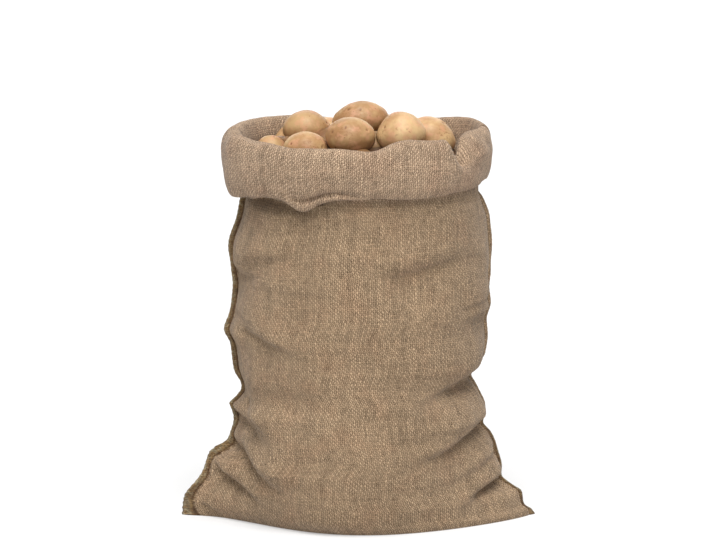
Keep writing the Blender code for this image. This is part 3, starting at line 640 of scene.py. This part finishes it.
def thread_mesh(name, path):
    """A closed round thread along a path."""
    path = np.array(path)
    along = np.gradient(path, axis=0)
    along /= np.linalg.norm(along, axis=1)[:, None]
    normal = np.cross(along[0], [0.3, 0.2, 0.9])  # square to the thread, starting from any way but its own
    turns = np.arange(STITCH_SIDES) * 2 * math.pi / STITCH_SIDES
    rings = []
    for point, way in zip(path, along):
        normal = normal - way * np.dot(normal, way)
        normal /= np.linalg.norm(normal)
        side = np.cross(way, normal)
        rings += [point + STITCH_RADIUS * (normal * math.cos(turn) + side * math.sin(turn)) for turn in turns]
    index = np.arange(len(rings)).reshape(-1, STITCH_SIDES)
    low, high = index[:-1], index[1:]
    quads = np.stack([low, np.roll(low, -1, 1), np.roll(high, -1, 1), high], axis=-1).reshape(-1, 4)
    data = bpy.data.meshes.new(name)
    ends = [index[0, ::-1].tolist(), index[-1].tolist()]
    data.from_pydata(np.array(rings).tolist(), [], quads.tolist() + ends)
    data.shade_smooth()
    return data


def make_stitches():
    """The thread of each side seam, which winds through the cloth along the root of the sewn edge."""
    rng = random.Random(4)
    made = []
    for name, side in (("stitches_left", -1), ("stitches_right", 1)):
        path = []
        turns = int((STITCH_END - STITCH_START) / STITCH_PITCH)
        wobble = [rng.uniform(-1, 1) for _ in range(turns + 2)]
        for step in range(turns * STITCH_STEPS + 1):
            turn = step / STITCH_STEPS
            whole = int(turn)
            loose = wobble[whole] + (wobble[whole + 1] - wobble[whole]) * (turn - whole)
            height = STITCH_START + (turn + STITCH_LOOSE[0] * loose) * STITCH_PITCH
            root = np.array([side * float(seam_reach(height, side)), SEAM_DEPTH[side], height])
            way, square = edge_way(height, side)
            swing, through = math.cos(2 * math.pi * turn), math.sin(2 * math.pi * turn)
            far = STITCH_MIDDLE + STITCH_REACH * (swing + STITCH_LOOSE[1] * loose)
            thick = math.copysign(abs(through) ** STITCH_FLAT, through)
            path.append(root + way * far + square * thick * (SEAM_HALF + STITCH_RADIUS * STITCH_LIFT))
        made.append(linked(name, thread_mesh(name, path)))
    return made


# ---- the potatoes
POTATO_LUMPS = ((1.3, 0.045), (3.4, 0.012), (11, 0.003))  # how many there are of each size, and the size
POTATO_BLUNT = 0.10  # how much fuller a potato is than an ellipsoid
POTATO_SEEDS = 40  # spreads the potatoes over the noise, so that no two have the same lumps
POTATO_FINE = (72, 44)  # faces round a potato and along it
POINTS_BELOW = 10000  # no potato has as many points
POTATO_CLEAR = 0.0004  # left between two potatoes
EYES = 9
EYES_AT_ENDS = 0.4  # share of them
EYE_RADIUS = 0.0040
EYE_DEPTH = 0.0016
EYE_RIM = (0.0007, 1.3)  # height of the rim round an eye, and how many radii out it is
EYE_SLIT = 1.5  # an eye is this many times as wide across the potato as it is long
HEAP_PAINTED_SHADE = (0.41, 0.355, 0.30)  # painted shade on the skin's tone of the potatoes between the top ones
DEEP_PAINTED_SHADE = (0.12, 0.09, 0.06)  # and painted shade darkens the filling under them nearly to black


def potato_eyes(name, half):
    """The middles of a potato's eyes on its plain form, each with how large it is."""
    rng = random.Random(name)
    eyes = []
    for _ in range(EYES):
        end = rng.random() < EYES_AT_ENDS
        along = rng.uniform(0.6, 0.98) * rng.choice((-1, 1)) if end else rng.uniform(-0.8, 0.8)
        turn = rng.uniform(0, 2 * math.pi)
        ring = math.sqrt(1 - along * along)
        eye = Vector((along, ring * math.cos(turn), ring * math.sin(turn))) * half
        eyes.append((eye, rng.uniform(0.75, 1.25)))
    return eyes


def face_order(face):
    """A number that puts a potato's faces in the same order on each run."""
    first, second, third = sorted(vert.index for vert in face.verts)[:3]
    return (first * POINTS_BELOW + second) * POINTS_BELOW + third


def potato_mesh(row, fine):
    """A potato in place, with how deep in an eye each point lies and how earthy it is."""
    name, *numbers = row
    middle, half = Vector(numbers[:3]), Vector(numbers[3:6])
    turn, tip, bend, dusky = numbers[6:]
    mesh = bmesh.new()
    bmesh.ops.create_uvsphere(mesh, u_segments=fine[0], v_segments=fine[1], radius=1)
    mesh.verts.index_update()
    mesh.faces.sort(key=face_order)
    eye_layer = mesh.verts.layers.float.new("eye")
    dusky_layer = mesh.verts.layers.float.new("dusky")
    eyes = potato_eyes(name, half)
    for vert in mesh.verts:
        unit = vert.co.zxy  # the sphere's poles become the potato's ends
        knob = 1 + sum(high * noise.noise(unit * many + middle * POTATO_SEEDS) for many, high in POTATO_LUMPS)
        fat = 1 + POTATO_BLUNT * (1 - unit.x * unit.x) ** 2
        base = half * unit
        away = Vector((unit.x / half.x, unit.y / half.y, unit.z / half.z)).normalized()
        spot = Vector((base.x, base.y * fat, base.z * fat)) * knob
        depth = 0.0
        for eye, size in eyes:
            apart = base - eye
            apart.x *= EYE_SLIT
            near = apart.length / (EYE_RADIUS * size)
            if near < 3:
                depth = max(depth, math.exp(-near * near * 1.6))
                spot += away * (EYE_RIM[0] * math.exp(-((near - EYE_RIM[1]) ** 2) * 3))
        spot -= away * EYE_DEPTH * depth
        spot.z -= bend * half.x * unit.x * unit.x
        vert[eye_layer] = depth
        vert[dusky_layer] = dusky
        vert.co = spot
    way = Matrix.Rotation(math.radians(turn), 4, "Z") @ Matrix.Rotation(-math.radians(tip), 4, "Y")
    bmesh.ops.transform(mesh, matrix=Matrix.Translation(middle) @ way, verts=mesh.verts)
    bmesh.ops.recalc_face_normals(mesh, faces=mesh.faces)
    return mesh


def keep_clear(mesh, others, gap):
    """Pushes a potato's points out of the ones before it, so that they touch and never cross."""
    for other in others:
        for vert in mesh.verts:
            spot, normal, _, _ = other.find_nearest(vert.co)
            if (vert.co - spot).dot(normal) < gap:
                vert.co = spot + normal * gap
    others.append(BVHTree.FromBMesh(mesh))


def finished(name, mesh):
    """The object a mesh under construction becomes."""
    data = bpy.data.meshes.new(name)
    mesh.to_mesh(data)
    mesh.free()
    data.shade_smooth()
    return linked(name, data)


def make_potatoes():
    made, trees = [], []
    for row in POTATOES:
        mesh = potato_mesh(row, POTATO_FINE)
        keep_clear(mesh, trees, POTATO_CLEAR)
        potato = finished(row[0] + "_fine", mesh)
        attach(potato, "root")
        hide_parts(row[0])
        made.append(potato)
    return made, trees


# The potatoes under the top ones, in rows across the mouth. They fill the gaps, sunk a little in the filling.
HEAP_STEP = Vector((0.052, 0.044))
HEAP_LINES = range(-4, 5)
HEAP_STRAY = 0.005
HEAP_MIDDLE = Vector((0.008, -0.009))
HEAP_REACH = Vector((0.150, 0.106))  # of their middles, and of their sides
MOUTH_REACH = Vector((0.166, 0.122))
HEAP_SUNK = 0.008
HEAP_FRONT_SUNK = 0.014  # they are sunk this much more at the front, which begins there and takes that far
HEAP_FRONT = (0.02, 0.06)
HEAP_GAP = 0.0010
HEAP_APART = 0.45  # of its own size, from its middle to the next potato
HEAP_TRIES = 8
HEAP_CLOSEST = 0.7  # share of that distance at which a potato is still kept
HEAP_SIZES = ((0.028, 0.034), (0.025, 0.029), (0.022, 0.026))
HEAP_TIP = 14
HEAP_BEND = 0.04
HEAP_DUSKY = 0.25
HEAP_FINE = (40, 26)


def shoved(spot, size, trees):
    """A potato's middle moved aside or down until it lies outside the others, or nothing if it can't be."""
    top = spot.z
    for _ in range(HEAP_TRIES):
        nearest = []
        for tree in trees:
            touch, normal, _, _ = tree.find_nearest(spot)
            away = (spot - touch).dot(normal)
            nearest.append(away)
            if away < size * HEAP_APART:
                spot = spot + normal * (size * HEAP_APART - away)
                spot.z = min(spot.z, top)
    return spot if min(nearest) > size * HEAP_APART * HEAP_CLOSEST else None


def share_of(apart, reach):
    """How far out a place is, as a share of an oval's reach."""
    return Vector((apart.x / reach.x, apart.y / reach.y)).length


def make_heap(trees):
    """One piece of the potatoes that show between the top ones."""
    rng = random.Random(12)
    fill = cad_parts["potato_fill"].data
    ground = BVHTree.FromPolygons([v.co[:] for v in fill.vertices], [p.vertices[:] for p in fill.polygons])
    heap = bmesh.new()
    for line, place in itertools.product(HEAP_LINES, HEAP_LINES):
        apart = Vector(((place + line % 2 / 2) * HEAP_STEP.x, line * HEAP_STEP.y))
        apart += Vector((rng.uniform(-1, 1), rng.uniform(-1, 1))) * HEAP_STRAY
        sizes = [rng.uniform(*size) for size in HEAP_SIZES]
        turns = rng.uniform(0, 180), rng.uniform(-HEAP_TIP, HEAP_TIP)
        if share_of(apart, HEAP_REACH) > 1:
            continue
        spot = HEAP_MIDDLE + apart
        top = ground.ray_cast(Vector((*spot, 1)), Vector((0, 0, -1)))[0].z
        low = HEAP_SUNK + HEAP_FRONT_SUNK * float(fade((-apart.y - HEAP_FRONT[0]) / HEAP_FRONT[1]))
        spot = shoved(Vector((*spot, top - low)), sizes[1], trees)
        if spot is None:
            continue
        mesh = potato_mesh((f"heap{line}.{place}", *spot, *sizes, *turns, HEAP_BEND, HEAP_DUSKY), HEAP_FINE)
        for vert in mesh.verts:
            out = vert.co.xy - HEAP_MIDDLE
            if share_of(out, MOUTH_REACH) > 1:
                vert.co.xy = HEAP_MIDDLE + out / share_of(out, MOUTH_REACH)
        keep_clear(mesh, trees, HEAP_GAP)
        part = bpy.data.meshes.new("potato")
        mesh.to_mesh(part)
        mesh.free()
        heap.from_mesh(part)
        bpy.data.meshes.remove(part)
    return finished("potato_heap", heap)


# ---- materials
class Signal:
    """A node's output, which adds, subtracts, multiplies and divides like a number."""

    def __init__(self, nodes, socket):
        self.nodes, self.socket = nodes, socket

    def __add__(self, other):
        return self.nodes.math("ADD", self, other)

    def __sub__(self, other):
        return self.nodes.math("SUBTRACT", self, other)

    def __rsub__(self, other):
        return self.nodes.math("SUBTRACT", other, self)

    def __mul__(self, other):
        return self.nodes.math("MULTIPLY", self, other)

    def __truediv__(self, other):
        return self.nodes.math("DIVIDE", self, other)


class Nodes:
    """Short calls for a material's nodes."""

    def __init__(self, name):
        self.material = bpy.data.materials.new(name)
        self.material.use_nodes = True
        self.tree = self.material.node_tree
        self.shader = self.tree.nodes["Principled BSDF"]

    def put(self, value, socket):
        if isinstance(value, Signal):
            self.tree.links.new(value.socket, socket)
        elif isinstance(value, tuple) and len(value) == 3 and socket.type == "RGBA":
            socket.default_value = (*value, 1)
        else:
            socket.default_value = value

    def node(self, kind, out, settings=None, **inputs):
        node = self.tree.nodes.new(kind)
        for key, value in (settings or {}).items():
            setattr(node, key, value)
        for key, value in inputs.items():
            self.put(value, node.inputs[key.replace("_", " ")])
        return Signal(self, node.outputs[out])

    def in_order(self, kind, out, values, **settings):
        """A node whose first inputs take these values."""
        signal = self.node(kind, out, settings)
        for value, socket in zip(values, signal.socket.node.inputs):
            self.put(value, socket)
        return signal

    def math(self, operation, *values):
        return self.in_order("ShaderNodeMath", 0, values, operation=operation)

    def ramp(self, *values):
        """A smooth step of a value between a low and a high one, from 0 to 1 or between two more values."""
        return self.in_order("ShaderNodeMapRange", 0, values, interpolation_type="SMOOTHSTEP")

    def noise(self, vector, scale, detail=2.0, rough=0.5):
        settings = {"Vector": vector, "Scale": scale, "Detail": detail, "Roughness": rough}
        return self.node("ShaderNodeTexNoise", "Fac", **settings)

    def chance(self, vector, low, high):
        """An even chance between two values for each place of whole numbers."""
        return self.ramp(self.node("ShaderNodeTexWhiteNoise", "Value", Vector=vector), 0.0, 1.0, low, high)

    def vector(self, x, y, z=0.0):
        return self.node("ShaderNodeCombineXYZ", 0, X=x, Y=y, Z=z)

    def split(self, vector):
        outputs = self.node("ShaderNodeSeparateXYZ", 0, Vector=vector).socket.node.outputs
        return [Signal(self, output) for output in outputs]

    def place(self):
        return self.node("ShaderNodeTexCoord", "Object")

    def mix(self, share, a, b, blend="MIX"):
        node = self.tree.nodes.new("ShaderNodeMix")
        node.data_type = "RGBA"
        node.blend_type = blend
        for value, socket in ((share, node.inputs["Factor"]), (a, node.inputs[6]), (b, node.inputs[7])):
            self.put(value, socket)
        return Signal(self, node.outputs[2])

    def tint(self, tone, by):
        return self.mix(1.0, tone, by, "MULTIPLY")

    def attribute(self, name):
        return self.node("ShaderNodeAttribute", "Fac", {"attribute_name": name})

    def surface(self, bump=None, **inputs):
        """Sets the shader's inputs, and its bump from a height, the metres of it and a strength."""
        if bump:
            height, distance, strength = bump
            settings = {"Height": height, "Distance": distance, "Strength": strength}
            inputs["Normal"] = self.node("ShaderNodeBump", 0, **settings)
        for key, value in inputs.items():
            self.put(value, self.shader.inputs[key.replace("_", " ")])
        return self.material


def srgb(*shown):
    """A colour given as a screen shows it, from 0 to 255, in linear light."""
    return tuple((c / 255 / 12.92) if c <= 10.3 else ((c / 255 + 0.055) / 1.055) ** 2.4 for c in shown)


WARP_PITCH = 0.00345  # between the threads that run up the sack, and between the ones that run round it
WEFT_PITCH = 0.00335
THIN_RUNS = 11.0  # a warp thread may be thinner over this many runs to the metre, by this much
THIN_BY = 0.13
THREAD_SLANT = 0.62  # the yarn's twist slants each float by this much of its length
THREAD_HIGH = 0.4  # added to a thread's height, of which 1 is where one crosses over another
# The warp is lighter than the weft: partly the threads' own tones, partly painted shade on the weft.
WARP_TONE = srgb(166, 142, 114)
WEFT_TONE_AND_SHADE = srgb(141, 118, 92)
# painted shade, which darkens the threads where they are low and fills the gaps between them
GAP_PAINTED_SHADE = srgb(62, 42, 23)
ROSY = srgb(255, 240, 236)
CUFF_CLEANER_AND_LIT = 1.21  # the cuff is lighter: partly the cloth's cleaner inside, partly painted light from above
# the cuff is paler too: partly its own tone, partly a painted sheen
CUFF_TINT = (1.0, 1.01, 1.09)
BAND_RIM = srgb(142, 129, 102)  # the sewn edges' rim, patches and root
BAND_PATCH = srgb(122, 98, 66)
# darker at the root: partly the seam's own colour, partly painted shade where the body meets the sewn edge
BAND_ROOT_AND_SHADE = srgb(84, 61, 40)


def hessian():
    """Plain-woven jute: thick and thin threads over and under each other, with painted shade on their low sides
    and in the gaps between them.
    """
    n = Nodes("hessian_weave")
    uv = n.node("ShaderNodeUVMap", "UV", {"uv_map": "cloth"})
    place = n.place()
    u, v, _ = n.split(uv)

    def strayed(along, pitch, turned, slow, fast):
        """Which thread a place is on: they stray from even rows, both slowly and from float to float."""
        slow_part = (n.noise(turned, 25.0) - 0.5) * slow
        return along / pitch + (slow_part + (n.noise(turned, 150.0, 1.0) - 0.5) * fast)

    def crown(off, other):
        """How high a thread is across its width, where its floats are slanted."""
        return n.math("COSINE", (off + other * THREAD_SLANT * 0.5) * math.pi)

    x = strayed(u, WARP_PITCH, uv, 2.2, 1.0)
    y = strayed(v, WEFT_PITCH, n.vector(v, u, 3.7), 2.6, 1.1)
    row_x, row_y = n.math("FLOOR", x), n.math("FLOOR", y)
    off_x, off_y = n.math("FRACT", x) - 0.5, n.math("FRACT", y) - 0.5
    over = 1.0 - n.math("FLOORED_MODULO", row_x + row_y, 2.0) * 2.0
    crown_x, crown_y = crown(off_x, off_y), crown(off_y, off_x)
    slub_x = n.noise(n.vector(row_x * 7.31, v * 70.0), 1.0, 1.0)
    slub_y = n.noise(n.vector(u * 70.0, row_y * 5.77, 9.1), 1.0, 1.0)
    run = n.vector(row_x, n.math("FLOOR", v * THIN_RUNS), 6.5)
    thin = n.ramp(n.chance(run, 0.0, 1.0), 0.70, 0.92, 0.0, THIN_BY)
    there_x = n.ramp(crown_x - (n.ramp(slub_x, 0.28, 0.72, 0.66, 0.20) + thin), -0.06, 0.22)
    there_y = n.ramp(crown_y - n.ramp(slub_y, 0.28, 0.72, 0.68, 0.22), -0.06, 0.22)
    half_x, half_y = crown_x * 0.5, crown_y * 0.5
    high_x = (half_x + over * half_y + THREAD_HIGH) * there_x
    high_y = (half_y - over * half_x + THREAD_HIGH) * there_y
    height = n.math("MAXIMUM", high_x, high_y)
    warp_up = n.ramp(high_x - high_y, -0.10, 0.10)

    float_tone = n.chance(n.vector(row_x, row_y, 0.5), 0.93, 1.06)
    warp_tone = n.chance(n.vector(row_x, 7.5, 2.5), 0.86, 1.08)
    weft_tone = n.chance(n.vector(3.5, row_y, 4.5), 0.90, 1.07)
    slow = n.ramp(n.noise(place, 9.0, 3.0, 0.55), 0.3, 0.7, 0.95, 1.05)
    streak = n.ramp(n.noise(n.vector(u * 110.0, v * 6.0), 1.0, 3.0, 0.6), 0.36, 0.74, 1.02, 0.88)
    hair = n.ramp(n.noise(n.vector(u * 900.0, v * 260.0), 1.0, 2.0, 0.6), 0.3, 0.7, 0.90, 1.08)
    slub = n.ramp(n.mix(warp_up, slub_y, slub_x), 0.25, 0.75, 0.88, 1.08)
    # lighter on the cuff: partly its cleaner inside, partly painted light
    cuff_cleaner_and_lit = n.ramp(n.attribute("cuff"), 0.0, 1.0, 1.0, CUFF_CLEANER_AND_LIT)
    grey = (slow * streak) * (hair * slub) * (cuff_cleaner_and_lit * float_tone) * n.mix(warp_up, weft_tone, warp_tone)

    # the weft's darker tone is partly painted shade
    thread = n.mix(warp_up, WEFT_TONE_AND_SHADE, WARP_TONE)
    rosy = n.ramp(n.noise(place, 22.0), 0.45, 0.72) * 0.35
    thread = n.mix(rosy, thread, n.tint(thread, ROSY))
    # the root's tone is partly painted shade where the body meets the sewn edge
    root = n.mix(n.ramp(n.noise(place, 62.0, 2.0, 0.6), 0.44, 0.56), BAND_ROOT_AND_SHADE, BAND_PATCH)
    outer = n.mix(n.ramp(n.noise(place, 150.0, 2.0, 0.6), 0.42, 0.58), BAND_PATCH, BAND_RIM)
    band = n.mix(n.ramp(n.attribute("sewn"), 0.55, 0.90), root, outer)
    # paler on the cuff: partly its own tone, partly a painted sheen
    thread = n.mix(n.attribute("cuff"), thread, n.tint(thread, CUFF_TINT))
    thread = n.mix(n.ramp(n.attribute("sewn"), 0.0, 0.5), thread, band)
    thread = n.tint(thread, n.node("ShaderNodeCombineColor", 0, Red=grey, Green=grey, Blue=grey))
    return n.surface(
        bump=(height + hair * 0.12, 0.0010, 0.65),
        # painted shade where the weave is low and in its gaps
        Base_Color=n.mix(n.ramp(height, 0.12, 0.80), GAP_PAINTED_SHADE, thread),
        Roughness=0.92, Specular_IOR_Level=0.25, Sheen_Weight=0.10, Sheen_Roughness=0.5,
    )


def twine(name, pale):
    """The darker jute thread of the seams, which is paler high up the right seam."""
    n = Nodes(name)
    place = n.place()
    tone = n.mix(n.ramp(n.noise(place, 420.0), 0.3, 0.7), srgb(74, 52, 32), srgb(116, 86, 56))
    high = n.ramp(n.split(place)[2], BAND_DARK_UP_TO - 0.02, BAND_DARK_UP_TO + 0.02, 0.0, pale)
    return n.surface(
        bump=(n.noise(place, 900.0), 0.0003, 1.0),
        Base_Color=n.mix(high, tone, srgb(146, 123, 96)),
        Roughness=0.9,
    )


def potato_skin(name, shade):
    """Washed potato skin: pale tan, mottled, with lenticels, netted patches and brown in its eyes, all under a
    painted shade that darkens the whole tone.
    """
    n = Nodes(name)
    place = n.place()
    tone = n.mix(n.ramp(n.noise(place, 24.0, 4.0, 0.62), 0.34, 0.66), srgb(209, 178, 131), srgb(177, 137, 94))
    tone = n.mix(n.attribute("dusky"), tone, n.tint(tone, srgb(215, 206, 196)))
    flush = n.ramp(n.noise(place, 62.0, 3.0, 0.65), 0.48, 0.64) * 0.40
    tone = n.mix(flush, tone, srgb(202, 146, 116))
    net = n.noise(place, 240.0, 4.0, 0.65)
    patch = n.ramp(n.noise(place, 34.0), 0.50, 0.66) * 0.70
    tone = n.mix(n.ramp(net, 0.50, 0.62) * patch, tone, srgb(136, 96, 60))
    spots = n.node("ShaderNodeTexVoronoi", "Distance", Vector=place, Scale=95.0)
    dot = n.ramp(spots, 0.06, 0.13, 1.0, 0.0) * n.ramp(n.noise(place, 80.0, 0.0), 0.48, 0.56)
    tone = n.mix(dot * 0.85, tone, srgb(104, 66, 38))
    tone = n.mix(n.ramp(n.attribute("eye"), 0.20, 0.90, 0.0, 0.85), tone, srgb(100, 58, 28))
    return n.surface(
        bump=(net * 0.5 - dot * 0.6, 0.0004, 0.5),
        # the skin's tone darkened by the painted shade
        Base_Color=n.tint(tone, shade),
        Roughness=n.ramp(net, 0.3, 0.7, 0.42, 0.62), Specular_IOR_Level=0.4,
    )


# ---- the studio
LOOK_AT = Vector((0.004, 0.0, 0.410))
CAMERA_AWAY = 9.0
CAMERA_UP = 10.5  # degrees
LENS = 276.0
SENSOR = 36.0
CLIP_END = 100.0
WORLD_LIGHT = 0.40
# Each sun's name, the way it shines, its strength, and how many degrees wide it is.
SUNS = (
    ("key", (-0.04, 0.50, -1.0), 4.0, 45),
    ("front", (0.10, 1.0, -0.30), 0.75, 60),
    ("back", (-0.10, -1.0, -0.30), 1.25, 60),
)
FLOOR_REACH = 40.0


def make_studio():
    scene = bpy.context.scene
    scene.view_settings.view_transform = "Standard"
    camera = linked("camera", bpy.data.cameras.new("camera"))
    camera.data.lens = LENS
    camera.data.sensor_width = SENSOR
    camera.data.clip_end = CLIP_END
    up = math.radians(CAMERA_UP)
    camera.location = LOOK_AT + CAMERA_AWAY * Vector((0, -math.cos(up), math.sin(up)))
    camera.rotation_euler = (LOOK_AT - camera.location).to_track_quat("-Z", "Y").to_euler()
    scene.camera = camera

    scene.world = bpy.data.worlds.new("studio")
    scene.world.use_nodes = True
    background = scene.world.node_tree.nodes["Background"]
    background.inputs["Color"].default_value = (1, 1, 1, 1)
    background.inputs["Strength"].default_value = WORLD_LIGHT
    for name, toward, strength, size in SUNS:
        light = linked(name, bpy.data.lights.new(name, "SUN"))
        light.data.energy = strength
        light.data.angle = math.radians(size)
        light.rotation_euler = Vector(toward).to_track_quat("-Z", "Y").to_euler()

    data = bpy.data.meshes.new("floor")
    corners = [(x * FLOOR_REACH, y * FLOOR_REACH, 0) for x, y in ((-1, -1), (1, -1), (1, 1), (-1, 1))]
    data.from_pydata(corners, [], [(0, 1, 2, 3)])
    n = Nodes("pale_floor")
    white = (1.0, 1.0, 1.0)
    n.surface(Base_Color=(0.44, 0.44, 0.44), Emission_Color=white, Emission_Strength=0.34, Roughness=0.9)
    data.materials.append(n.material)
    floor = linked("floor", data)


def main():
    make_studio()
    sack = make_sack()
    sack.data.materials.append(hessian())
    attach(sack, "root")
    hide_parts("sack")
    stitches = make_stitches()
    threads = twine("seam_twine_left", 0.0), twine("seam_twine_right", 1.0)
    for piece, thread in zip(stitches, threads):
        piece.data.materials.append(thread)
        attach(piece, "root")
    potatoes, trees = make_potatoes()
    skin = potato_skin("potato_skin_fine", (1.0, 1.0, 1.0))
    for piece in potatoes:
        piece.data.materials.append(skin)
    heap = make_heap(trees)
    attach(heap, "root")
    # the heap's potatoes have the same skin, darkened by painted shade
    heap.data.materials.append(potato_skin("potato_skin_heap", HEAP_PAINTED_SHADE))
    # the filling is a dark sheet of painted shade in the gaps between the potatoes
    deep_shaded_skin = potato_skin("potato_skin_deep_painted_shade", DEEP_PAINTED_SHADE)
    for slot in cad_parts["potato_fill"].material_slots:
        slot.material = deep_shaded_skin


main()
